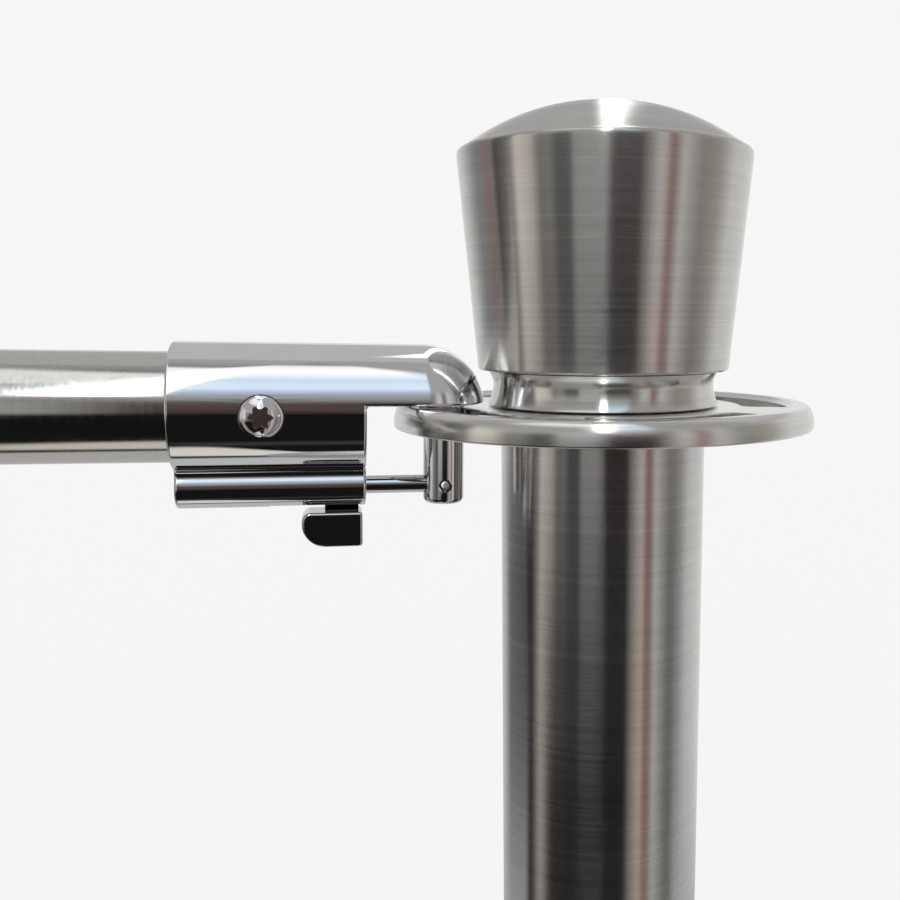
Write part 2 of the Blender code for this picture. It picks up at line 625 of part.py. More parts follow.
def build_rail_fixing(prefix, parent):
    """Tapped insert inside the rail tube and the button-head screw that holds the tube."""
    insert_r = RAIL_R - RAIL_WALL - GAP
    insert = finish(prefix + "rail_insert", solid_round(insert_r, INSERT_LOW, INSERT_HIGH, 0.0008, 24),
                    (STEEL, 1.0, 0.45), parent, ALONG_X)
    at_screw = Matrix.Translation((RAIL_SCREW_X, 0, RAIL_SCREW_Z)) @ ALONG_Y
    cut(insert, [(solid_round(RAIL_SCREW_R + GAP, 0.0020, RAIL_R, 0.0, 16), at_screw)])
    head = arc(0.0, RAIL_SCREW_SEAT - 0.0035, 0.0060, 0.72, pi / 2, 4)
    seat = RAIL_SCREW_SEAT
    profile = [(0.0, RAIL_SCREW_FOOT), (RAIL_SCREW_R, RAIL_SCREW_FOOT), (RAIL_SCREW_R, seat)]
    profile += [(RAIL_SCREW_HEAD_R, seat)] + head[:-1] + [(0.0, head[-1][1])]
    screw = finish(prefix + "rail_screw", turned(profile, 24),
                   (CHROME, 1.0, 0.15), parent, at_screw)
    star = []
    for i in range(12):
        angle = 2 * pi * i / 12
        radius = 0.0017 if i % 2 == 0 else 0.0011
        star.append((radius * cos(angle), radius * sin(angle)))
    cut(screw, [(prism(star, head[-1][1] - 0.0016, head[-1][1] + 0.001), at_screw)])


def build_hook(prefix, parent):
    """One complete hook."""
    build_housing(prefix, parent)
    build_finger(prefix, parent)
    build_latch(prefix, parent)
    build_spring(prefix, parent)
    build_plug(prefix, parent)
    build_rail_fixing(prefix, parent)


def build_rail():
    """Rail tube with a hook at each end, on an empty at the swing axis."""
    turn = Euler((0, -RAIL_TILT, pi)).to_matrix().to_4x4()
    swing = add_empty("rail_swing_axis", Matrix.Translation((-FINGER_RADIUS, 0, RAIL_Z)) @ turn)
    near = add_empty("near_hook_frame", Matrix.Identity(4), swing)
    far_place = Matrix.Translation((RAIL_SPAN, 0, 0)) @ Matrix.Rotation(pi, 4, "Z")
    far = add_empty("far_hook_frame", far_place, swing)
    build_hook("near_", near)
    build_hook("far_", far)
    start = SOCKET_X + GAP
    tube = finish("rail_tube", pipe(RAIL_R, RAIL_R - RAIL_WALL, start, RAIL_SPAN - start, 32),
                  (POLISHED, 1.0, 0.14), swing, ALONG_X)
    at_screw = Matrix.Translation((RAIL_SCREW_X, 0, RAIL_SCREW_Z)) @ ALONG_Y
    holes = []
    for place in (at_screw, far_place @ at_screw):
        hole = solid_round(RAIL_SCREW_R + GAP, RAIL_R - RAIL_WALL - PAST, RAIL_R + PAST, 0.0, 16)
        holes.append((hole, place))
    cut(tube, holes)


build_base()
build_post()
build_ring()
build_neck()
build_crown()
build_rail()
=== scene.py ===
"""Looks of the slotted-ring barrier post and its latching hook rail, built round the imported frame."""

import json
from math import acos, asin, atan2, cos, pi, radians, sin, sqrt

import bmesh
import bpy
from mathutils import Matrix, Vector


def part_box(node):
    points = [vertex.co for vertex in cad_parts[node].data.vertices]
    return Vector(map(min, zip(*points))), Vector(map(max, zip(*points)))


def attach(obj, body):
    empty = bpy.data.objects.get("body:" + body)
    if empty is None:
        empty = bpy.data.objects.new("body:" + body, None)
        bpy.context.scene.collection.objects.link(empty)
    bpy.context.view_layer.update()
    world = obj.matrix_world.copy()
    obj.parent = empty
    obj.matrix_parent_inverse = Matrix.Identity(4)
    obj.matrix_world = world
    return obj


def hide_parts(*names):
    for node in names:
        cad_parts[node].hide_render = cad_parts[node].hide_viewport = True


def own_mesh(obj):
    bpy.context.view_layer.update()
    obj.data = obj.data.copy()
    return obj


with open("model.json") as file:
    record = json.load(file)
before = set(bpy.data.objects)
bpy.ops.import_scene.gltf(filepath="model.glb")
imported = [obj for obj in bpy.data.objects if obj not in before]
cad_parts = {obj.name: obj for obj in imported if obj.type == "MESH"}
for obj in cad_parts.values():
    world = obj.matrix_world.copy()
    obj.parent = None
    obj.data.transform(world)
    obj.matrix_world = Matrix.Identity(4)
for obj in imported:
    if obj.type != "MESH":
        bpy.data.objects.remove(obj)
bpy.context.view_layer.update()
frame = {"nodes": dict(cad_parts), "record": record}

MM = 0.001
SEGMENTS = 160                  # round a turned piece
GAP = 0.3 * MM                  # gap that the frame keeps between pieces that touch


# ---------------------------------------------------------------- places, read from the frame
def radius_of(node):
    """Outer radius of an upright round node."""
    low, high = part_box(node)
    return (high.x - low.x) / 2


def joint(name):
    """A joint of the record by its name."""
    return next(j for j in frame["record"]["behaviour"]["joints"] if j["name"] == name)


CROWN_LOW, CROWN_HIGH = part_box("crown")
NECK_LOW, NECK_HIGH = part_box("neck_collar")
RING_LOW, RING_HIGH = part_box("slotted_ring")
TUBE_LOW, TUBE_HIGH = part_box("post_tube")
PAD_LOW, PAD_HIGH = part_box("floor_pad")
COVER_LOW, COVER_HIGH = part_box("base_cover")
COLLAR_LOW, COLLAR_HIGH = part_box("base_collar")
TUBE_R = radius_of("post_tube")
TUBE_WALL = 1.5 * MM
RING_R = radius_of("slotted_ring")

SWING = Vector(joint("rail_swing")["pos_m"])
ALONG = Vector(joint("near_latch_slide")["axis"]).normalized()
FINGERS = [sum(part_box(node), Vector()) / 2 for node in ("near_finger", "far_finger")]
RAIL_SPAN = (FINGERS[1] - FINGERS[0]).length


def hook_frame(origin, along):
    """Frame of a hook: X along the rail away from the finger, Z up, origin on the finger axis."""
    side = Vector((0, 0, 1)).cross(along).normalized()
    up = along.cross(side)
    turn = Matrix((along, side, up)).transposed().to_4x4()
    return Matrix.Translation(origin) @ turn


NEAR = hook_frame(SWING, ALONG)
FAR = hook_frame(SWING + ALONG * RAIL_SPAN, -ALONG)
HOOKS = (("near_", NEAR, "near_latch", "near_latch_slide"), ("far_", FAR, "far_latch", "far_latch_slide"))

# ---- Crown, neck and ring ----
CROWN_H = CROWN_HIGH.z - CROWN_LOW.z
CROWN_FOOT_R = 30.9 * MM
CROWN_WIDE_R = 35.7 * MM
CROWN_WIDE_H = 50.4 * MM
CROWN_EDGE_R = 33.9 * MM
CROWN_EDGE_H = 52.7 * MM
CROWN_WALL = 1.8 * MM
DOME_FULLNESS = 2.25            # 2 is a plain arc; more keeps the dome high towards its edge
NECK_H = NECK_HIGH.z - NECK_LOW.z
NECK_TOP_R = 28.5 * MM
NECK_WAIST_R = 27.3 * MM
NECK_FOOT_R = 28.6 * MM
RING_H = RING_HIGH.z - RING_LOW.z
RING_RECESS = 0.9 * MM           # the face inside the rim lies this much lower
RECESS_R = 46.6 * MM
RIM_ROUND = 2.3 * MM
SLOT_IN_R = 34.5 * MM
SLOT_OUT_R = 45.8 * MM
SLOT_SPAN = radians(62)
SLOT_TURN = radians(10)
SLOT_CORNER = 3.0 * MM
BORE_R = 5.3 * MM

# ---- Hook, in its own frame ----
HOOK_R = 15.0 * MM
HOOK_END = 61.4 * MM
NOSE_X = 5.3 * MM
SEAT_Z = 1.2 * MM                # the nose's flat underside
CHEST_X = 18.6 * MM
SOCKET_X = 23.5 * MM
BARREL_R = 4.9 * MM
BARREL_Z = -18.6 * MM
BARREL_BORE_R = 3.8 * MM
BARREL_BORE_X = CHEST_X + 1.5 * MM
VALLEY_R = 1.6 * MM
FINGER_R = 4.9 * MM
FINGER_TOP = 8.5 * MM
FINGER_FOOT = -23.2 * MM
FINGER_EDGE = 1.3 * MM
LATCH_R = 2.15 * MM
LATCH_TIP = 3.2 * MM
LATCH_TRAVEL = joint("near_latch_slide")["range_m"][1]
STEM_L = 7.8 * MM
STEM_W = 3.6 * MM
STEM_TOP = -20.8 * MM
COLLAR_R = 3.5 * MM
COLLAR_L = 8.5 * MM
TRIGGER_X = 19.5 * MM
TRIGGER_L = 14.0 * MM
TRIGGER_W = 9.0 * MM
TRIGGER_TOP = -24.6 * MM
TRIGGER_FOOT = -32.8 * MM
CROSS_PIN_R = 1.45 * MM
CROSS_PIN_WALL = 0.45 * MM
CROSS_PIN_L = 8.4 * MM
GUIDE_R = 1.6 * MM
GUIDE_L = 8.0 * MM
SPRING_R = 2.9 * MM
SPRING_WIRE_R = 0.35 * MM
SPRING_TURNS = 9
PLUG_L = 6.0 * MM
RAIL_R = 12.7 * MM
RAIL_WALL = 1.5 * MM
SCREW_X = 41.4 * MM
SCREW_Z = -1.0 * MM
SCREW_R = 2.2 * MM
SCREW_HEAD_R = 4.7 * MM
SCREW_SEAT = 14.7 * MM

ALONG_X = Matrix.Rotation(pi / 2, 4, "Y")
ALONG_Y = Matrix.Rotation(-pi / 2, 4, "X")


# ---------------------------------------------------------------- camera
CAMERA_AT = Vector((-64.25, -244.0, 948.8)) * MM
CAMERA_YAW = 0.2222
CAMERA_PITCH = 0.1330
CAMERA_ROLL = 0.0030
CAMERA_LENS = 40.39
CAMERA_SHIFT = (-0.130, 0.005)  # the picture is a crop from beside the optical centre


def build_camera():
    """Camera in front of the hook, a little above the rail, looking slightly down."""
    data = bpy.data.cameras.new("camera")
    data.lens = CAMERA_LENS
    data.sensor_width = 36.0
    data.shift_x, data.shift_y = CAMERA_SHIFT
    data.clip_start = 0.01
    camera = bpy.data.objects.new("camera", data)
    bpy.context.scene.collection.objects.link(camera)
    ahead = Vector((sin(CAMERA_YAW) * cos(CAMERA_PITCH), cos(CAMERA_YAW) * cos(CAMERA_PITCH),
                    -sin(CAMERA_PITCH)))
    right = Vector((cos(CAMERA_YAW), -sin(CAMERA_YAW), 0))
    up = right.cross(ahead)
    rolled_right = right * cos(CAMERA_ROLL) + up * sin(CAMERA_ROLL)
    rolled_up = up * cos(CAMERA_ROLL) - right * sin(CAMERA_ROLL)
    turn = Matrix((rolled_right, rolled_up, -ahead)).transposed().to_4x4()
    camera.matrix_world = Matrix.Translation(CAMERA_AT) @ turn
    bpy.context.scene.camera = camera


# ---------------------------------------------------------------- node helpers
def new_material(name):
    """A node material; returns the material, its node tree and its Principled shader."""
    made = bpy.data.materials.new(name)
    made.use_nodes = True
    tree = made.node_tree
    return made, tree, tree.nodes["Principled BSDF"]


def add(tree, kind, **settings):
    """Add a node and set its attributes."""
    node = tree.nodes.new(kind)
    for key, value in settings.items():
        setattr(node, key, value)
    return node


def maths(tree, operation, a, b=None, clamp=False):
    """A Math node on two values or sockets; returns its output."""
    node = add(tree, "ShaderNodeMath", operation=operation, use_clamp=clamp)
    for socket, value in zip(node.inputs, (a, b)):
        if value is None:
            continue
        if isinstance(value, (int, float)):
            socket.default_value = value
        else:
            tree.links.new(value, socket)
    return node.outputs[0]


def remap(tree, value, low, high, out_low, out_high):
    """Map a value from one range to another, clamped."""
    node = add(tree, "ShaderNodeMapRange", clamp=True)
    tree.links.new(value, node.inputs["Value"])
    for name, number in (("From Min", low), ("From Max", high), ("To Min", out_low), ("To Max", out_high)):
        node.inputs[name].default_value = number
    return node.outputs["Result"]


def noise(tree, vector, scale, detail=3.0, roughness=0.55):
    """A Noise texture on a vector."""
    node = add(tree, "ShaderNodeTexNoise")
    node.inputs["Scale"].default_value = scale
    node.inputs["Detail"].default_value = detail
    node.inputs["Roughness"].default_value = roughness
    tree.links.new(vector, node.inputs["Vector"])
    return node.outputs["Fac"]


def stretched(tree, scale):
    """Object coordinates, stretched axis by axis."""
    where = add(tree, "ShaderNodeTexCoord")
    mapping = add(tree, "ShaderNodeMapping")
    mapping.inputs["Scale"].default_value = scale
    tree.links.new(where.outputs["Object"], mapping.inputs["Vector"])
    return mapping.outputs["Vector"]


def ramp(tree, value, stops, interpolation="LINEAR"):
    """A ColorRamp with (place, colour) stops."""
    node = add(tree, "ShaderNodeValToRGB")
    node.color_ramp.interpolation = interpolation
    elements = node.color_ramp.elements
    while len(elements) > 1:
        elements.remove(elements[-1])
    elements[0].position = stops[0][0]
    elements[0].color = (*stops[0][1], 1.0)
    for place, colour in stops[1:]:
        elements.new(place).color = (*colour, 1.0)
    tree.links.new(value, node.inputs["Fac"])
    return node.outputs["Color"]


def mix(tree, factor, a, b, blend="MIX"):
    """Mix two colours, given as sockets or tuples."""
    node = add(tree, "ShaderNodeMix", data_type="RGBA", blend_type=blend)
    for socket, value in ((node.inputs[0], factor), (node.inputs[6], a), (node.inputs[7], b)):
        if isinstance(value, (int, float)):
            socket.default_value = value
        elif isinstance(value, tuple):
            socket.default_value = (*value, 1.0)
        else:
            tree.links.new(value, socket)
    return node.outputs[2]


def bump(tree, shader, layers):
    """Chain Bump nodes: (height socket, strength, distance in metres)."""
    normal = None
    for height, strength, distance in layers:
        node = add(tree, "ShaderNodeBump")
        node.inputs["Strength"].default_value = strength
        node.inputs["Distance"].default_value = distance
        tree.links.new(height, node.inputs["Height"])
        if normal is not None:
            tree.links.new(normal, node.inputs["Normal"])
        normal = node.outputs["Normal"]
    tree.links.new(normal, shader.inputs["Normal"])


# ---------------------------------------------------------------- materials
def brushed_round(name, colour, roughness, lines, spread=0.97):
    """Stainless steel brushed on a lathe: fine lines round the Z axis, glints drawn out along Z."""
    made, tree, shader = new_material(name)
    fine = noise(tree, stretched(tree, (9, 9, lines)), 1.0, 4.0, 0.7)
    coarse = noise(tree, stretched(tree, (14, 14, lines * 0.22)), 1.0, 3.0, 0.6)
    cloud = noise(tree, stretched(tree, (1, 1, 1)), 38.0, 2.0, 0.5)
    both = maths(tree, "MULTIPLY", fine, coarse)
    tone = remap(tree, both, 0.12, 0.42, 0.88, 1.05)
    scale = add(tree, "ShaderNodeVectorMath", operation="SCALE")
    scale.inputs[0].default_value = colour
    tree.links.new(tone, scale.inputs["Scale"])
    tree.links.new(scale.outputs[0], shader.inputs["Base Color"])
    grain = remap(tree, fine, 0.3, 0.7, -0.02, 0.03)
    rough = maths(tree, "ADD", grain, remap(tree, cloud, 0.3, 0.7, -0.01, 0.02))
    tree.links.new(maths(tree, "ADD", rough, roughness), shader.inputs["Roughness"])
    shader.inputs["Metallic"].default_value = 1.0
    shader.inputs["Anisotropic"].default_value = spread
    shader.inputs["Anisotropic Rotation"].default_value = 0.25
    tangent = add(tree, "ShaderNodeTangent", direction_type="RADIAL", axis="Z")
    tree.links.new(tangent.outputs[0], shader.inputs["Tangent"])
    bump(tree, shader, [(fine, 0.10, 0.00002), (coarse, 0.10, 0.00003)])
    return made


def chrome_plate(name, colour, roughness, ripple, shade_above=None):
    """Bright chrome on a polished casting: slight ripple, faint hairlines; painted shade in near black above
    a given height.
    """
    made, tree, shader = new_material(name)
    swell = noise(tree, stretched(tree, (1, 1, 1)), 60.0, 1.0, 0.4)
    hair = noise(tree, stretched(tree, (300, 2200, 1500)), 1.0, 2.0, 0.6)
    rough = remap(tree, hair, 0.25, 0.75, roughness * 0.7, roughness * 1.5)
    tree.links.new(rough, shader.inputs["Roughness"])
    tone = mix(tree, remap(tree, swell, 0.3, 0.7, 0.0, 1.0), tuple(c * 0.97 for c in colour), colour)
    if shade_above is not None:
        where = add(tree, "ShaderNodeTexCoord")
        apart = add(tree, "ShaderNodeSeparateXYZ")
        tree.links.new(where.outputs["Object"], apart.inputs[0])
        # painted shade: near-black stem above the trigger's top, in the narrow gap under the barrel where
        # shade falls
        gap_shade = remap(tree, apart.outputs["Z"], shade_above - 0.3 * MM, shade_above, 0.0, 1.0)
        tone = mix(tree, gap_shade, tone, (0.09, 0.085, 0.08))
    tree.links.new(tone, shader.inputs["Base Color"])
    shader.inputs["Metallic"].default_value = 1.0
    bump(tree, shader, [(swell, ripple, 0.0004), (hair, 0.02, 0.00001)])
    return made


def polished_tube(name, colour, roughness):
    """Polished stainless tube with faint lines along its length."""
    made, tree, shader = new_material(name)
    lines = noise(tree, stretched(tree, (16, 1300, 1300)), 1.0, 3.0, 0.6)
    haze = noise(tree, stretched(tree, (25, 120, 120)), 1.0, 2.0, 0.5)
    tone = mix(tree, remap(tree, lines, 0.3, 0.7, 0.0, 1.0), tuple(c * 0.92 for c in colour), colour)
    tree.links.new(tone, shader.inputs["Base Color"])
    grain = remap(tree, lines, 0.3, 0.7, -0.02, 0.03)
    rough = maths(tree, "ADD", grain, remap(tree, haze, 0.3, 0.7, 0.0, 0.03))
    tree.links.new(maths(tree, "ADD", rough, roughness), shader.inputs["Roughness"])
    shader.inputs["Metallic"].default_value = 1.0
    bump(tree, shader, [(lines, 0.06, 0.00002)])
    return made


def plain_metal(name, colour, roughness):
    """Machined steel with fine tool marks."""
    made, tree, shader = new_material(name)
    marks = noise(tree, stretched(tree, (900, 900, 900)), 1.0, 4.0, 0.6)
    tone = mix(tree, remap(tree, marks, 0.3, 0.7, 0.0, 1.0), tuple(c * 0.85 for c in colour), colour)
    tree.links.new(tone, shader.inputs["Base Color"])
    rough = remap(tree, marks, 0.3, 0.7, roughness * 0.8, roughness * 1.3)
    tree.links.new(rough, shader.inputs["Roughness"])
    shader.inputs["Metallic"].default_value = 1.0
    bump(tree, shader, [(marks, 0.08, 0.00003)])
    return made


def dull_solid(name, colour, roughness, grain, height):
    """Cast iron or rubber: a grained, non-shiny skin."""
    made, tree, shader = new_material(name)
    skin = noise(tree, stretched(tree, (1, 1, 1)), grain, 5.0, 0.65)
    tone = mix(tree, remap(tree, skin, 0.35, 0.65, 0.0, 1.0), tuple(c * 0.7 for c in colour), colour)
    tree.links.new(tone, shader.inputs["Base Color"])
    rough = remap(tree, skin, 0.3, 0.7, roughness * 0.85, min(1.0, roughness * 1.1))
    tree.links.new(rough, shader.inputs["Roughness"])
    bump(tree, shader, [(skin, 0.4, height)])
    return made


CROWN_SKIN = brushed_round("crown_brushed", (0.72, 0.705, 0.675), 0.20, 2400)
POST_SKIN = brushed_round("post_brushed", (0.68, 0.67, 0.65), 0.17, 2000)
NECK_SKIN = brushed_round("neck_turned", (0.74, 0.73, 0.70), 0.15, 3000)
RING_SKIN = brushed_round("ring_brushed", (0.82, 0.815, 0.79), 0.20, 3000, 0.6)
BASE_SKIN = brushed_round("base_spun", (0.62, 0.61, 0.585), 0.30, 900, 0.6)
CHROME = chrome_plate("hook_chrome", (0.86, 0.865, 0.88), 0.035, 0.05)
# the last argument is where painted shade starts: the stem goes near black above the trigger's top, under
# the barrel
TRIGGER_CHROME = chrome_plate("trigger_chrome", (0.80, 0.80, 0.81), 0.05, 0.04, TRIGGER_TOP + 0.2 * MM)
FINGER_CHROME = chrome_plate("finger_chrome", (0.84, 0.84, 0.85), 0.04, 0.02)
RAIL_SKIN = polished_tube("rail_polished", (0.72, 0.71, 0.68), 0.09)
STEEL = plain_metal("machined_steel", (0.50, 0.50, 0.51), 0.26)
DARK_STEEL = plain_metal("oiled_steel", (0.22, 0.22, 0.22), 0.35)
IRON = dull_solid("cast_iron", (0.07, 0.07, 0.075), 0.75, 700.0, 0.0004)
RUBBER = dull_solid("pad_rubber", (0.028, 0.028, 0.028), 0.80, 1400.0, 0.0001)


# ---------------------------------------------------------------- mesh helpers
def arc(centre_a, centre_b, radius, start, end, steps):
    """Points on an arc in a plane."""
    points = []
    for i in range(steps + 1):
        angle = start + (end - start) * i / steps
        points.append((centre_a + radius * cos(angle), centre_b + radius * sin(angle)))
    return points


def soften(points, steps=5):
    """Round an outline's corners: points are (a, b) or (a, b, corner radius); ends stay sharp."""
    made = []
    for i, point in enumerate(points):
        radius = point[2] if len(point) > 2 else 0.0
        here = Vector(point[:2])
        if radius <= 0 or i in (0, len(points) - 1):
            made.append(tuple(here))
            continue
        back = (Vector(points[i - 1][:2]) - here).normalized()
        on = (Vector(points[i + 1][:2]) - here).normalized()
        half = back.angle(on) / 2
        reach = radius / sin(half) * cos(half)
        centre = here + (back + on).normalized() * (radius / sin(half))
        start = here + back * reach - centre
        turn = start.angle_signed(here + on * reach - centre)
        for k in range(steps + 1):
            angle = -turn * k / steps
            made.append((centre.x + start.x * cos(angle) - start.y * sin(angle),
                         centre.y + start.x * sin(angle) + start.y * cos(angle)))
    return made


def turned(profile, segments=SEGMENTS):
    """Revolve a closed outline of (radius, height) points about Z; radius 0 closes a pole."""
    made = bmesh.new()
    rings = []
    for radius, height in profile:
        if radius < 1e-7:
            rings.append([made.verts.new((0.0, 0.0, height))])
            continue
        ring = []
        for i in range(segments):
            angle = 2 * pi * i / segments
            ring.append(made.verts.new((radius * cos(angle), radius * sin(angle), height)))
        rings.append(ring)
    for this, after in zip(rings, rings[1:] + rings[:1]):
        if len(this) == 1 and len(after) == 1:
            continue
        for i in range(segments):
            j = (i + 1) % segments
            corners = [this[i % len(this)], this[j % len(this)]]
            corners += [after[j % len(after)], after[i % len(after)]]
            made.faces.new(list(dict.fromkeys(corners)))
    return made


def rod(radius, low, high, edge=0.0, segments=64):
    """A round bar along Z with rounded ends."""
    outline = [(0.0, low), (radius, low, edge), (radius, high, edge), (0.0, high)]
    return turned(soften(outline, 4), segments)


def prism(outline, low, high):
    """Extrude a closed XY outline from z=low to z=high."""
    made = bmesh.new()
    floor = [made.verts.new((x, y, low)) for x, y in outline]
    roof = [made.verts.new((x, y, high)) for x, y in outline]
    made.faces.new(floor[::-1])
    made.faces.new(roof)
    for i in range(len(outline)):
        j = (i + 1) % len(outline)
        made.faces.new((floor[i], floor[j], roof[j], roof[i]))
    return made


def raw_object(name, mesh_bm, place=None):
    """A closed bmesh as an object, in the row frame."""
    bmesh.ops.remove_doubles(mesh_bm, verts=mesh_bm.verts, dist=1e-8)
    bmesh.ops.recalc_face_normals(mesh_bm, faces=mesh_bm.faces)
    mesh = bpy.data.meshes.new(name)
    mesh_bm.to_mesh(mesh)
    mesh_bm.free()
    made = bpy.data.objects.new(name, mesh)
    bpy.context.scene.collection.objects.link(made)
    if place is not None:
        made.matrix_world = place
    return made


def settle(piece):
    """Apply the modifiers to the piece's mesh."""
    graph = bpy.context.evaluated_depsgraph_get()
    mesh = bpy.data.meshes.new_from_object(piece.evaluated_get(graph), depsgraph=graph)
    piece.modifiers.clear()
    old = piece.data
    piece.data = mesh
    bpy.data.meshes.remove(old)


def round_edges(piece, width, segments, angle=35):
    """Round the sharp edges and apply."""
    modifier = piece.modifiers.new("round", "BEVEL")
    modifier.width = width
    modifier.segments = segments
    modifier.limit_method = "ANGLE"
    modifier.angle_limit = radians(angle)
    modifier.use_clamp_overlap = True
    settle(piece)


def combine(piece, tools, operation="DIFFERENCE"):
    """Cut tools out of a piece, or join them to it; a tool is (bmesh, place in the piece's frame)."""
    made = []
    for tool_bm, place in tools:
        tool = raw_object(piece.name + "_tool", tool_bm, piece.matrix_world @ place)
        modifier = piece.modifiers.new("combine", "BOOLEAN")
        modifier.operation = operation
        modifier.solver = "EXACT"
        modifier.object = tool
        made.append(tool)
    bpy.context.view_layer.update()
    settle(piece)
    for tool in made:
        bpy.data.objects.remove(tool, do_unlink=True)


def dress(piece, material, body, nodes, sharp=32):
    """Smooth shading with true flats, material, its body empty, and hiding the frame nodes it stands in for.
    """
    piece.data.shade_smooth()
    piece.data.set_sharp_from_angle(angle=radians(sharp))
    weighted = piece.modifiers.new("flats", "WEIGHTED_NORMAL")
    weighted.keep_sharp = True
    weighted.weight = 80
    settle(piece)
    piece.data.materials.clear()
    piece.data.materials.append(material)
    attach(piece, body)
    if nodes:
        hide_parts(*nodes)
    return piece


def turned_piece(name, profile, material, nodes, body="post", base_z=0.0):
    """A piece turned about the post's axis."""
    piece = raw_object(name, turned(profile), Matrix.Translation((0, 0, base_z)))
    return dress(piece, material, body, nodes)


# ---------------------------------------------------------------- post
def crown_profile():
    """Hollow crown: coned side, soft shoulder, low dome, rolled foot."""
    sag = CROWN_H - CROWN_EDGE_H
    inner_r = CROWN_FOOT_R - CROWN_WALL
    foot = soften([(inner_r, 0.0), (CROWN_FOOT_R, 0.0, 0.7 * MM), (CROWN_WIDE_R, CROWN_WIDE_H)], 6)
    shoulder = shoulder_curve()
    dome = []
    for i in range(1, 29):
        radius = CROWN_EDGE_R * (1 - i / 28)
        dome.append((radius, CROWN_H - sag * (radius / CROWN_EDGE_R) ** DOME_FULLNESS))
    inside = [(0.0, CROWN_H - CROWN_WALL), (CROWN_EDGE_R * 0.6, CROWN_H - 5.2 * MM)]
    inside += [(CROWN_EDGE_R - 2 * MM, CROWN_EDGE_H - 2.8 * MM)]
    inside += [(CROWN_WIDE_R - CROWN_WALL - 0.4 * MM, CROWN_WIDE_H - 4 * MM)]
    return foot + shoulder + dome + inside


def shoulder_curve():
    """Smooth turn from the coned side into the dome's edge, as a cubic curve."""
    lean = Vector((CROWN_WIDE_R - CROWN_FOOT_R, CROWN_WIDE_H)).normalized()
    start = Vector((CROWN_WIDE_R, CROWN_WIDE_H))
    end = Vector((CROWN_EDGE_R, CROWN_EDGE_H))
    leave = start + lean * 1.9 * MM
    arrive = end + Vector((0.77, -0.64)) * 1.5 * MM
    points = []
    for i in range(1, 13):
        t = i / 12
        early = start * (1 - t) ** 3 + leave * 3 * t * (1 - t) ** 2
        late = arrive * 3 * t * t * (1 - t) + end * t ** 3
        points.append(tuple(early + late))
    return points


def neck_profile():
    """Collar: waisted, flaring to its foot below and to the crown above."""
    waist_z = NECK_H * 0.60
    outline = [(BORE_R, 0.0), (NECK_FOOT_R - 0.25 * MM, 0.0), (NECK_FOOT_R, 0.25 * MM)]
    for i in range(1, 9):
        t = i / 8
        outline.append((NECK_FOOT_R - (NECK_FOOT_R - NECK_WAIST_R) * (1 - (1 - t) ** 1.7), waist_z * t))
    for i in range(1, 9):
        t = i / 8
        radius = NECK_WAIST_R + (NECK_TOP_R - NECK_WAIST_R) * t ** 2.2
        outline.append((radius, waist_z + (NECK_H - waist_z) * t))
    outline.append((BORE_R, NECK_H))
    return outline


def slot_outline(middle, grow):
    """Outline of one arc-shaped slot with round corners, grown by a margin."""
    inner_r = SLOT_IN_R - grow
    outer_r = SLOT_OUT_R + grow
    corner = SLOT_CORNER
    outer = SLOT_SPAN / 2 + grow / outer_r - corner / (outer_r - corner)
    inner = SLOT_SPAN / 2 + grow / inner_r - corner / (inner_r + corner)
    outline = arc(0, 0, outer_r, middle - outer, middle + outer, 40)
    for centre_r, turn, first in ((outer_r - corner, outer, 0.0), (inner_r + corner, inner, pi / 2)):
        start = middle + turn + first
        outline += arc(cos(middle + turn) * centre_r, sin(middle + turn) * centre_r, corner,
                       start, start + pi / 2, 8)[1:]
    outline += arc(0, 0, inner_r, middle + inner, middle - inner, 30)[1:]
    for centre_r, turn, first in ((inner_r + corner, inner, pi), (outer_r - corner, outer, 1.5 * pi)):
        start = middle - turn + first
        outline += arc(cos(middle - turn) * centre_r, sin(middle - turn) * centre_r, corner,
                       start, start + pi / 2, 8)[1:]
    return outline[:-1]


def slot_cutter(middle):
    """Slot cutter that leaves a small chamfer on both faces."""
    chamfer = 0.3 * MM
    past = 1.0 * MM
    face = RING_H - RING_RECESS
    levels = [(-past, chamfer + past), (chamfer, 0.0), (face - chamfer, 0.0), (face + past, chamfer + past)]
    made = bmesh.new()
    rings = []
    for height, grow in levels:
        rings.append([made.verts.new((x, y, height)) for x, y in slot_outline(middle, grow)])
    count = len(rings[0])
    for low, high in zip(rings, rings[1:]):
        for i in range(count):
            j = (i + 1) % count
            made.faces.new((low[i], low[j], high[j], high[i]))
    made.faces.new(rings[0][::-1])
    made.faces.new(rings[-1])
    return made


def build_ring():
    """Ring plate: sunk face, raised rim with a full round over its edge, four slots."""
    wall = 1.6 * MM
    profile = [(BORE_R, 0.0)] + soften([(BORE_R, 0.0), (RING_R, 0.0, 0.5 * MM), (RING_R, wall)], 6)[1:-1]
    for i in range(13):
        angle = pi / 2 * i / 12
        profile.append((RING_R - RIM_ROUND + RIM_ROUND * cos(angle), wall + (RING_H - wall) * sin(angle)))
    face = RING_H - RING_RECESS
    profile += soften([(RING_R - RIM_ROUND, RING_H), (RECESS_R + RING_RECESS, RING_H, 0.3 * MM),
                       (RECESS_R, face, 0.3 * MM), (BORE_R, face)], 3)[1:]
    piece = raw_object("ring_plate", turned(profile, 192), Matrix.Translation((0, 0, RING_LOW.z)))
    cutters = [(slot_cutter(SLOT_TURN + pi / 2 * i), Matrix.Identity(4)) for i in range(4)]
    combine(piece, cutters)
    dress(piece, RING_SKIN, "post", ["slotted_ring"], 28)


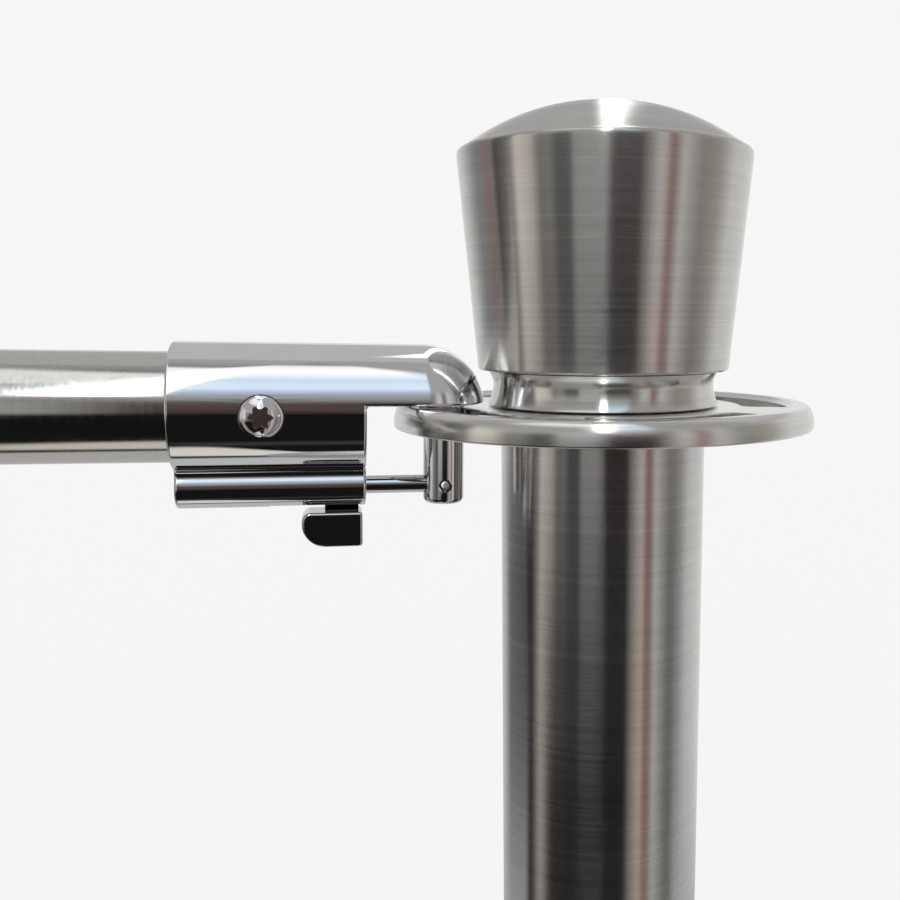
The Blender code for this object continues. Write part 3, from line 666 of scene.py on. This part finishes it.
def build_post():
    """Crown, neck and post tube."""
    turned_piece("crown_shell", crown_profile(), CROWN_SKIN, ["crown"], base_z=CROWN_LOW.z)
    turned_piece("neck_turned", neck_profile(), NECK_SKIN, ["neck_collar"], base_z=NECK_LOW.z)
    inner_r = TUBE_R - TUBE_WALL
    height = TUBE_HIGH.z - TUBE_LOW.z
    edge = 0.3 * MM
    tube = soften([(inner_r, 0.0), (TUBE_R, 0.0, edge), (TUBE_R, height, edge), (inner_r, height)], 3)
    turned_piece("post_shell", tube, POST_SKIN, ["post_tube"], base_z=TUBE_LOW.z)


def build_base():
    """Spun cover with a rolled shoulder, turned collar, rubber pad with rounded edges."""
    wall = 1.2 * MM
    cover_r = radius_of("base_cover")
    hole_r = TUBE_R + GAP
    cover_h = COVER_HIGH.z - COVER_LOW.z
    outside = cover_curve(cover_r, cover_h, hole_r, 0.0)
    inside = cover_curve(cover_r, cover_h, hole_r, wall)
    turned_piece("base_shell", outside + inside[::-1], BASE_SKIN, ["base_cover"], base_z=COVER_LOW.z)
    collar_r = radius_of("base_collar")
    collar_h = COLLAR_HIGH.z - COLLAR_LOW.z
    lip = 2.5 * MM
    top_r = 27.2 * MM
    collar = [(hole_r, 0.0)] + soften([(hole_r, 0.0), (collar_r, 0.0, 0.4 * MM), (collar_r, lip, 0.8 * MM),
                                       (collar_r - 0.9 * MM, lip)], 4)[1:]
    collar += [(top_r + (collar_r - 0.9 * MM - top_r) * (1 - sin(t * pi / 24)) ** 1.6,
                lip + (collar_h - lip) * (1 - cos(t * pi / 24)) ** 0.8) for t in range(1, 13)]
    collar += [(hole_r, collar_h - 0.4 * MM)]
    turned_piece("collar_turned", collar, NECK_SKIN, ["base_collar"], base_z=COLLAR_LOW.z)
    pad_r = radius_of("floor_pad")
    pad_h = PAD_HIGH.z - PAD_LOW.z
    pad = soften([(0.0, 0.0), (pad_r, 0.0, 0.7 * MM), (pad_r, pad_h, 0.9 * MM), (0.0, pad_h)], 4)
    turned_piece("pad_moulded", pad, RUBBER, ["floor_pad"], base_z=PAD_LOW.z)


def cover_curve(outer_r, height, hole_r, inset):
    """Cover outline from its skirt to its hole, moved in by the wall."""
    shoulder = 10 * MM
    skirt = 24 * MM
    points = [(outer_r - inset, 0.0)]
    points += arc(outer_r - shoulder, skirt - shoulder, shoulder - inset, 0, pi / 2, 14)
    low = skirt - inset
    high = height - inset
    reach_out = outer_r - shoulder
    reach_in = 43 * MM
    for i in range(1, 31):
        share = i / 30
        points.append((reach_out + (reach_in - reach_out) * share, low + (high - low) * share ** 1.6))
    points.append((hole_r, high))
    return points


# ---------------------------------------------------------------- hook
def lower_outline():
    """Y-Z outline of the lower section from +Y round the barrel to -Y."""
    drop = -BARREL_Z
    reach = HOOK_R + VALLEY_R
    barrel_reach = BARREL_R + VALLEY_R
    down = (drop ** 2 + reach ** 2 - barrel_reach ** 2) / (2 * drop)
    side = sqrt(reach ** 2 - down ** 2)
    meet_hook = -acos(side / reach)
    meet_barrel = atan2(drop - down, side)
    half = arc(0, 0, HOOK_R, asin(SEAT_Z / HOOK_R), meet_hook, 26)
    half += arc(side, -down, VALLEY_R, pi + meet_hook, pi + meet_barrel, 8)[1:]
    half += arc(0, BARREL_Z, BARREL_R, meet_barrel, -pi / 2, 22)[1:]
    return half + [(-y, z) for y, z in half[-2::-1]]


def hook_skin():
    """The casting's outer skin in one closed mesh with regular quads; sharp edges are rounded later."""
    made = bmesh.new()
    lower = lower_outline()
    arch_steps = 48
    foot = asin(SEAT_Z / HOOK_R)
    arch = arc(0, 0, HOOK_R, pi - foot, foot, arch_steps)
    full = lower + arch[1:-1]

    def section(x):
        return [made.verts.new((x, y, z)) for y, z in full]

    end = section(HOOK_END)
    chest = section(CHEST_X)
    made.faces.new(end)
    for i in range(len(full)):
        j = (i + 1) % len(full)
        made.faces.new((end[i], end[j], chest[j], chest[i]))
    made.faces.new(chest[:len(lower)])
    seat = [chest[len(lower) - 1]] + chest[len(lower):] + [chest[0]]
    nose = [made.verts.new((NOSE_X, y, z)) for y, z in arch]
    for i in range(arch_steps):
        made.faces.new((seat[i], seat[i + 1], nose[i + 1], nose[i]))
    crest = nose[arch_steps // 2]
    quarter = arch_steps // 2
    turns = 24
    columns = [nose[:quarter + 1]]
    for k in range(1, turns):
        angle = pi * k / turns
        column = []
        for i in range(quarter):
            rise = foot + (pi / 2 - foot) * i / quarter
            reach = HOOK_R * cos(rise)
            x = NOSE_X - reach * sin(angle)
            column.append(made.verts.new((x, -reach * cos(angle), HOOK_R * sin(rise))))
        columns.append(column + [crest])
    columns.append(nose[:quarter - 1:-1])
    for this, after in zip(columns, columns[1:]):
        for i in range(quarter):
            corners = [this[i], this[i + 1], after[i + 1], after[i]]
            made.faces.new(list(dict.fromkeys(corners)))
    underside = [column[0] for column in columns]
    made.faces.new([seat[0], *underside, seat[-1]])
    return made


def build_housing(prefix, place):
    """Chrome casting with rounded edges, tube socket, latch barrel, trigger slot and screw seat."""
    piece = raw_object(prefix + "hook_casting", hook_skin(), place)
    round_edges(piece, 0.7 * MM, 4)
    at_screw = Matrix.Translation((SCREW_X, 0, SCREW_Z)) @ ALONG_Y
    at_barrel = Matrix.Translation((0, 0, BARREL_Z)) @ ALONG_X
    half = STEM_W / 2 + GAP
    slot_end = BARREL_BORE_X + STEM_L + LATCH_TRAVEL + 0.9 * MM
    slot = [(BARREL_BORE_X, -half), (slot_end, -half), (slot_end, half), (BARREL_BORE_X, half)]
    past = 4 * MM
    tools = [
        (rod(RAIL_R + GAP, SOCKET_X, HOOK_END + past, 0.0, 128), ALONG_X),
        (rod(BARREL_BORE_R, BARREL_BORE_X, HOOK_END + past, 0.0, 64), at_barrel),
        (rod(LATCH_R + GAP, CHEST_X - past, BARREL_BORE_X + 1 * MM, 0.0, 48), at_barrel),
        (rod(FINGER_R + 0.1 * MM, -past, FINGER_TOP + GAP, 0.0, 64), Matrix.Identity(4)),
        (prism(slot, BARREL_Z - BARREL_R - past, BARREL_Z), Matrix.Identity(4)),
        (rod(SCREW_R + GAP, 5 * MM, HOOK_R + past, 0.0, 32), at_screw),
        (rod(SCREW_HEAD_R + GAP, SCREW_SEAT - GAP, HOOK_R + past, 0.0, 64), at_screw),
    ]
    combine(piece, tools)
    dress(piece, CHROME, "rail", [prefix + "hook_housing"], 30)


def build_finger(prefix, place):
    """Finger with a soft lower edge, side bore and cross hole, and its split pin."""
    pin_bm = rod(FINGER_R, FINGER_FOOT, FINGER_TOP, FINGER_EDGE, 96)
    piece = raw_object(prefix + "finger_pin_round", pin_bm, place)
    at_barrel = Matrix.Translation((0, 0, BARREL_Z))
    combine(piece, [(rod(LATCH_R + GAP, LATCH_TIP - GAP, FINGER_R + 2 * MM, 0.0, 48), at_barrel @ ALONG_X),
                    (rod(CROSS_PIN_R + 0.15 * MM, -7 * MM, 7 * MM, 0.0, 48), at_barrel @ ALONG_Y)])
    dress(piece, FINGER_CHROME, "rail", [prefix + "finger"], 30)
    split = 0.25
    inner = CROSS_PIN_R - CROSS_PIN_WALL
    outline = arc(0, 0, CROSS_PIN_R, split, 2 * pi - split, 40)
    outline += arc(0, 0, inner, 2 * pi - split, split, 40)
    pin = raw_object(prefix + "split_pin", prism(outline, -CROSS_PIN_L / 2, CROSS_PIN_L / 2),
                     place @ at_barrel @ ALONG_Y @ Matrix.Rotation(pi / 2, 4, "Z"))
    dress(pin, DARK_STEEL, "rail", [prefix + "cross_pin"])


def build_latch(prefix, place, body):
    """Latch bolt, and the thumb trigger with its dished sides."""
    at_barrel = place @ Matrix.Translation((0, 0, BARREL_Z))
    collar_x = BARREL_BORE_X + GAP
    collar_end = collar_x + COLLAR_L
    guide_end = collar_end + GUIDE_L
    edge = 0.3 * MM
    profile = soften([(0.0, LATCH_TIP), (LATCH_R, LATCH_TIP, 0.5 * MM), (LATCH_R, collar_x),
                      (COLLAR_R, collar_x, edge), (COLLAR_R, collar_end, edge), (GUIDE_R, collar_end),
                      (GUIDE_R, guide_end, 0.4 * MM), (0.0, guide_end)], 4)
    bolt = raw_object(prefix + "latch_rod", turned(profile, 64), at_barrel @ ALONG_X)
    dress(bolt, FINGER_CHROME, body, [prefix + "latch_bolt"])
    build_trigger(prefix, place, body, collar_x)


def build_trigger(prefix, place, body, collar_x):
    """Thumb trigger: straight front, round back foot, soft borders round a dished face."""
    tip = TRIGGER_X + TRIGGER_L
    middle = (TRIGGER_X + TRIGGER_L / 2, TRIGGER_TOP)
    side = soften([middle, (tip, TRIGGER_TOP, 2.0 * MM), (tip, TRIGGER_FOOT, 5.4 * MM),
                   (TRIGGER_X, TRIGGER_FOOT, 0.9 * MM), (TRIGGER_X, TRIGGER_TOP, 0.6 * MM), middle], 10)[:-1]
    half = TRIGGER_W / 2
    lever = prism([(x, -z) for x, z in side], -half, half)
    faces = [face for face in lever.faces if abs(face.normal.z) > 0.9]
    bmesh.ops.inset_individual(lever, faces=faces, thickness=1.6 * MM, depth=-0.9 * MM)
    bmesh.ops.transform(lever, matrix=Matrix.Rotation(-pi / 2, 4, "X"), verts=lever.verts)
    piece = raw_object(prefix + "thumb_trigger", lever, place)
    round_edges(piece, 1.0 * MM, 5, 25)
    width = STEM_W / 2
    stem_end = collar_x + STEM_L
    stem = [(collar_x, -width), (stem_end, -width), (stem_end, width), (collar_x, width)]
    combine(piece, [(prism(stem, TRIGGER_TOP - 1 * MM, STEM_TOP), Matrix.Identity(4))], "UNION")
    at_stem = Matrix.Translation((collar_x + STEM_L / 2, 0, 0))
    combine(piece, [(rod(1.5 * MM, TRIGGER_FOOT - 2 * MM, BARREL_Z, 0.0, 32), at_stem),
                    (rod(2.5 * MM, TRIGGER_FOOT - 2 * MM, TRIGGER_FOOT + 2 * MM, 0.0, 32), at_stem)])
    dress(piece, TRIGGER_CHROME, body, [prefix + "trigger"], 30)


def build_spring(prefix, place):
    """Coil spring behind the bolt, running up to the barrel plug."""
    low = BARREL_BORE_X + COLLAR_L + 2 * GAP
    high = HOOK_END - PLUG_L - GAP
    steps = 24 * SPRING_TURNS
    sides = 10
    coil = bmesh.new()
    rings = []
    for i in range(steps + 1):
        angle = 2 * pi * SPRING_TURNS * i / steps
        along = low + SPRING_WIRE_R + (high - low - 2 * SPRING_WIRE_R) * i / steps
        ring = []
        for k in range(sides):
            turn = 2 * pi * k / sides
            reach = SPRING_R + SPRING_WIRE_R * cos(turn)
            x = along + SPRING_WIRE_R * sin(turn)
            ring.append(coil.verts.new((x, reach * cos(angle), reach * sin(angle))))
        rings.append(ring)
    for this, after in zip(rings, rings[1:]):
        for k in range(sides):
            j = (k + 1) % sides
            coil.faces.new((this[k], this[j], after[j], after[k]))
    coil.faces.new(rings[0])
    coil.faces.new(rings[-1])
    piece = raw_object(prefix + "latch_coil", coil, place @ Matrix.Translation((0, 0, BARREL_Z)))
    dress(piece, STEEL, "rail", [prefix + "latch_spring"])
    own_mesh(piece)


def build_rail_screw(prefix, place):
    """Button-head screw with a star recess."""
    seat = SCREW_SEAT
    head_h = 2.4 * MM
    dome_r = (SCREW_HEAD_R ** 2 + head_h ** 2) / (2 * head_h)
    profile = [(0.0, 3 * MM), (SCREW_R, 3 * MM), (SCREW_R, seat), (SCREW_HEAD_R - 0.1 * MM, seat),
               (SCREW_HEAD_R, seat + 0.1 * MM), (SCREW_HEAD_R, seat + 0.35 * MM)]
    edge_angle = atan2(dome_r - head_h + 0.3 * MM, SCREW_HEAD_R)
    top = seat + head_h
    for i in range(1, 13):
        angle = edge_angle + (pi / 2 - edge_angle) * i / 12
        profile.append((max(0.0, dome_r * cos(angle)), top - dome_r + dome_r * sin(angle)))
    profile[-1] = (0.0, top)
    at_screw = place @ Matrix.Translation((SCREW_X, 0, SCREW_Z)) @ ALONG_Y
    piece = raw_object(prefix + "tube_screw", turned(profile, 72), at_screw)
    star = []
    points = 72
    for i in range(points):
        angle = 2 * pi * i / points
        radius = (2.30 + 0.42 * cos(6 * angle)) * MM
        star.append((radius * cos(angle), radius * sin(angle)))
    combine(piece, [(prism(star, top - 2.0 * MM, top + 1 * MM), Matrix.Identity(4))])
    dress(piece, FINGER_CHROME, "rail", [prefix + "rail_screw"], 30)


def build_rail_tube():
    """Polished rail tube between the two sockets."""
    start = SOCKET_X + GAP
    end = RAIL_SPAN - start
    inner = RAIL_R - RAIL_WALL
    profile = soften([(inner, start), (RAIL_R, start, 0.3 * MM), (RAIL_R, end, 0.3 * MM), (inner, end)], 3)
    piece = raw_object("rail_polished_tube", turned(profile, 128), NEAR @ ALONG_X)
    dress(piece, RAIL_SKIN, "rail", ["rail_tube"])


# ---------------------------------------------------------------- surroundings
def front_axes():
    """Unit vectors on the floor plane from the post towards the camera, and to the picture's right."""
    front = Vector((CAMERA_AT.x, CAMERA_AT.y, 0)).normalized()
    return front, Vector((-front.y, front.x, 0))


def grey(value, tint=(1.0, 1.0, 1.0)):
    """A grey with a tint."""
    return tuple(value * part for part in tint)


WARM = (1.06, 1.0, 0.92)
RED = (1.25, 0.92, 0.86)
DEEP_RED = (1.45, 0.85, 0.74)
COOL = (0.95, 1.0, 1.06)

# Panels round the post, as (degrees to the right of the camera's side, colour).
UPPER_PANELS = [
    (-180, grey(0.85)), (-140, grey(0.62)), (-118, grey(0.28, COOL)), (-100, grey(0.22, RED)),
    (-95, grey(0.24)), (-91, grey(0.05)), (-86, grey(0.13)), (-76, grey(0.16)), (-70, grey(0.74, WARM)),
    (-58, grey(0.62, WARM)), (-50, grey(0.20, WARM)), (-42, grey(0.26)), (-36, grey(0.09)),
    (-26, grey(0.10)), (-22, grey(0.42)), (-6, grey(0.46)), (2, grey(0.30)), (10, grey(0.22, WARM)),
    (24, grey(0.14, RED)), (34, grey(0.24)), (42, grey(0.56)), (48, grey(0.46)),
    (50, grey(0.24, DEEP_RED)), (54, grey(0.17, DEEP_RED)), (56, grey(0.30)), (62, grey(0.55, WARM)),
    (70, grey(0.40)), (80, grey(0.28, WARM)), (98, grey(0.34, WARM)), (116, grey(0.66)),
    (150, grey(0.74)), (180, grey(0.85)),
]
LOWER_PANELS = [
    (-180, grey(0.85)), (-142, grey(0.50)), (-128, grey(0.16, COOL)), (-100, grey(0.08, COOL)),
    (-93, grey(0.06)), (-90, grey(0.005)), (-85, grey(0.005)), (-82, grey(0.11)),
    (-72, grey(0.42, WARM)), (-58, grey(0.30, WARM)), (-50, grey(0.15, WARM)), (-40, grey(0.11)),
    (-26, grey(0.08)), (-20, grey(0.16)), (-10, grey(0.15)), (-1, grey(0.006)), (3, grey(0.006)),
    (6, grey(0.05)), (24, grey(0.05)), (30, grey(0.10, WARM)), (37, grey(0.26, WARM)),
    (46, grey(0.44, RED)), (50, grey(0.18, DEEP_RED)), (57, grey(0.20, RED)), (62, grey(0.50)),
    (70, grey(0.36)), (80, grey(0.17, WARM)), (87, grey(0.15)), (95, grey(0.26)), (112, grey(0.62)),
    (136, grey(0.72)), (180, grey(0.85)),
]
BACKGROUND = (0.925, 0.925, 0.925)
LAMP_TURN = 1.0                 # lamp above the camera, in degrees to the right of its side
LAMP_HALF = 4.0                 # half its width in degrees
LAMP_POWER = 7.0
STRIP_ASIDE = 0.03              # strip lamp behind the post, sideways part of its direction
STRIP_POWER = 3.2

# What the polished hook sees in front of it, as (degrees above the level, colour).
FRONT_TONES = [
    (-90, grey(0.55)), (-84, grey(0.50)), (-80, grey(0.008)), (-68, grey(0.008)), (-62, grey(0.045)),
    (-56, grey(0.008)), (-9, grey(0.008)), (-4, grey(0.045, RED)), (9, grey(0.08, RED)),
    (14, grey(0.13, WARM)), (18, grey(0.30)), (24, grey(0.38)), (30, (0.46, 0.54, 0.68)),
    (37, (0.80, 0.94, 1.06)), (46, (0.76, 0.90, 1.05)), (52, (0.68, 0.83, 1.02)),
    (60, (0.95, 1.04, 1.10)), (70, grey(1.25)), (80, grey(1.0)), (84, grey(0.34)), (90, grey(0.28)),
]
# The same for the rail tube, which looks further to the left.
LEFT_TONES = [
    (-90, grey(0.70, WARM)), (-70, grey(0.64, WARM)), (-64, grey(0.01)), (-16, grey(0.01)),
    (-11, grey(0.34, WARM)), (0, grey(0.56, WARM)), (16, grey(0.60, WARM)), (26, grey(0.36)),
    (46, grey(0.40)), (52, grey(0.95)), (72, grey(1.05)), (77, grey(0.26)), (84, grey(0.36)),
    (90, grey(0.42)),
]


def build_world():
    """Soft studio surroundings: pale everywhere to the eye and to matt skins, panels to polished ones."""
    world = bpy.data.worlds.new("studio")
    bpy.context.scene.world = world
    world.use_nodes = True
    tree = world.node_tree
    tree.nodes.clear()
    out = add(tree, "ShaderNodeOutputWorld")
    where = add(tree, "ShaderNodeTexCoord")
    front, right = front_axes()
    ahead = dot(tree, where.outputs["Generated"], front)
    aside = dot(tree, where.outputs["Generated"], right)
    lift = dot(tree, where.outputs["Generated"], Vector((0, 0, 1)))
    turn = maths(tree, "ARCTAN2", aside, ahead)
    around = maths(tree, "ADD", maths(tree, "DIVIDE", turn, 2 * pi), 0.5)
    height = maths(tree, "DIVIDE", maths(tree, "ARCSINE", lift), pi / 180)
    upper = ramp(tree, around, [(degrees / 360 + 0.5, colour) for degrees, colour in UPPER_PANELS])
    lower = ramp(tree, around, [(degrees / 360 + 0.5, colour) for degrees, colour in LOWER_PANELS])
    walls = mix(tree, remap(tree, height, -12, -5, 0, 1), lower, upper)
    degrees_right = maths(tree, "MULTIPLY", turn, 180 / pi)
    rise = maths(tree, "ADD", maths(tree, "DIVIDE", height, 180.0), 0.5)
    front_column = ramp(tree, rise, [(degrees / 180 + 0.5, colour) for degrees, colour in FRONT_TONES])
    left_column = ramp(tree, rise, [(degrees / 180 + 0.5, colour) for degrees, colour in LEFT_TONES])
    column = mix(tree, remap(tree, degrees_right, -8, -3, 0, 1), left_column, front_column)
    from_left = remap(tree, degrees_right, -75, -60, 0, 1)
    facing = maths(tree, "MULTIPLY", from_left, remap(tree, degrees_right, 26, 32, 1, 0))
    beyond = maths(tree, "ADD", remap(tree, height, 12, 22, 0, 1), remap(tree, height, -20, -12, 1, 0))
    level = maths(tree, "MAXIMUM", beyond, remap(tree, degrees_right, 0, 5, 0, 1))
    sides = mix(tree, remap(tree, height, 22, 30, 0, 1), walls, grey(0.38))
    around_hook = mix(tree, maths(tree, "MULTIPLY", facing, level), sides, column)
    behind = mix(tree, backdrop_share(tree, ahead, lift), around_hook, grey(0.50))
    glow = mix(tree, lamp_share(tree, degrees_right, height), behind, grey(LAMP_POWER))
    surroundings = mix(tree, strip_share(tree, aside, ahead, lift), glow, grey(STRIP_POWER))
    seen = add(tree, "ShaderNodeBackground")
    tree.links.new(surroundings, seen.inputs["Color"])
    plain = add(tree, "ShaderNodeBackground")
    plain.inputs["Color"].default_value = (*BACKGROUND, 1.0)
    path = add(tree, "ShaderNodeLightPath")
    choose = add(tree, "ShaderNodeMixShader")
    tree.links.new(path.outputs["Is Glossy Ray"], choose.inputs["Fac"])
    tree.links.new(plain.outputs[0], choose.inputs[1])
    tree.links.new(seen.outputs[0], choose.inputs[2])
    tree.links.new(choose.outputs[0], out.inputs["Surface"])


def backdrop_share(tree, ahead, lift):
    """How much of a direction belongs to the pale room behind the post, above and below its level."""
    steep = maths(tree, "ABSOLUTE", lift)
    past = remap(tree, ahead, -0.10, -0.04, 1, 0)
    return maths(tree, "MULTIPLY", past, remap(tree, steep, 0.40, 0.55, 0, 1))


def lamp_share(tree, degrees_right, height):
    """Narrow upright lamp above the camera."""
    off_centre = maths(tree, "ABSOLUTE", maths(tree, "SUBTRACT", degrees_right, LAMP_TURN))
    across = remap(tree, off_centre, LAMP_HALF * 0.6, LAMP_HALF, 1, 0)
    upright = maths(tree, "MULTIPLY", remap(tree, height, 24, 32, 0, 1), remap(tree, height, 62, 68, 1, 0))
    return maths(tree, "MULTIPLY", across, upright)


def strip_share(tree, aside, ahead, lift):
    """Strip lamp behind and above the post; it draws the glint on the dome."""
    off_centre = maths(tree, "ABSOLUTE", maths(tree, "SUBTRACT", aside, STRIP_ASIDE))
    across = remap(tree, off_centre, 0.02, 0.06, 1, 0)
    past = remap(tree, ahead, -0.40, -0.25, 1, 0)
    reach = maths(tree, "MULTIPLY", past, remap(tree, lift, 0.35, 0.50, 0, 1))
    return maths(tree, "MULTIPLY", across, reach)


def dot(tree, vector, axis):
    """Dot product of a vector socket with a fixed axis."""
    node = add(tree, "ShaderNodeVectorMath", operation="DOT_PRODUCT")
    tree.links.new(vector, node.inputs[0])
    node.inputs[1].default_value = axis
    return node.outputs["Value"]


def build_floor():
    """Plain pale floor."""
    size = 40.0
    made = bmesh.new()
    bmesh.ops.create_grid(made, x_segments=8, y_segments=8, size=size)
    floor = raw_object("studio_floor", made, Matrix.Translation((0, 0, -0.2 * MM)))
    material, _, shader = new_material("floor_paper")
    shader.inputs["Base Color"].default_value = (0.10, 0.10, 0.10, 1.0)
    shader.inputs["Emission Color"].default_value = (*BACKGROUND, 1.0)
    shader.inputs["Emission Strength"].default_value = 0.88
    shader.inputs["Roughness"].default_value = 0.9
    shader.inputs["Specular IOR Level"].default_value = 0.1
    floor.data.materials.append(material)
    floor.visible_glossy = False


def build_light():
    """One large soft key light over the camera's left shoulder."""
    data = bpy.data.lights.new("soft_key", "AREA")
    data.shape = "RECTANGLE"
    data.size = 1.6
    data.size_y = 1.2
    data.energy = 14.0
    light = bpy.data.objects.new("soft_key", data)
    bpy.context.scene.collection.objects.link(light)
    light.location = (-1.6, -2.2, 2.6)
    aim = Vector((-0.2, 0, 0.6)) - light.location
    light.rotation_mode = "QUATERNION"
    light.rotation_quaternion = aim.to_track_quat("-Z", "Y")
    light.visible_glossy = False


# ---------------------------------------------------------------- carried-over pieces
def dress_frame_nodes():
    """Give the CAD nodes that stay their own finish."""
    finish = {"plain_steel": STEEL, "cast_iron": IRON, "chrome": CHROME}
    slots = {entry["node"]: entry["material_slot"] for entry in frame["record"]["subparts"]}
    for name, node in frame["nodes"].items():
        if node.hide_render:
            continue
        node.data.materials.clear()
        node.data.materials.append(finish[slots[name]])


build_camera()
build_world()
build_floor()
build_light()
build_post()
build_ring()
build_base()
build_rail_tube()
for hook_prefix, hook_place, latch_body, latch_joint in HOOKS:
    build_housing(hook_prefix, hook_place)
    build_finger(hook_prefix, hook_place)
    build_latch(hook_prefix, hook_place, latch_body)
    build_spring(hook_prefix, hook_place)
    build_rail_screw(hook_prefix, hook_place)
dress_frame_nodes()

bpy.context.scene.view_settings.view_transform = "Standard"
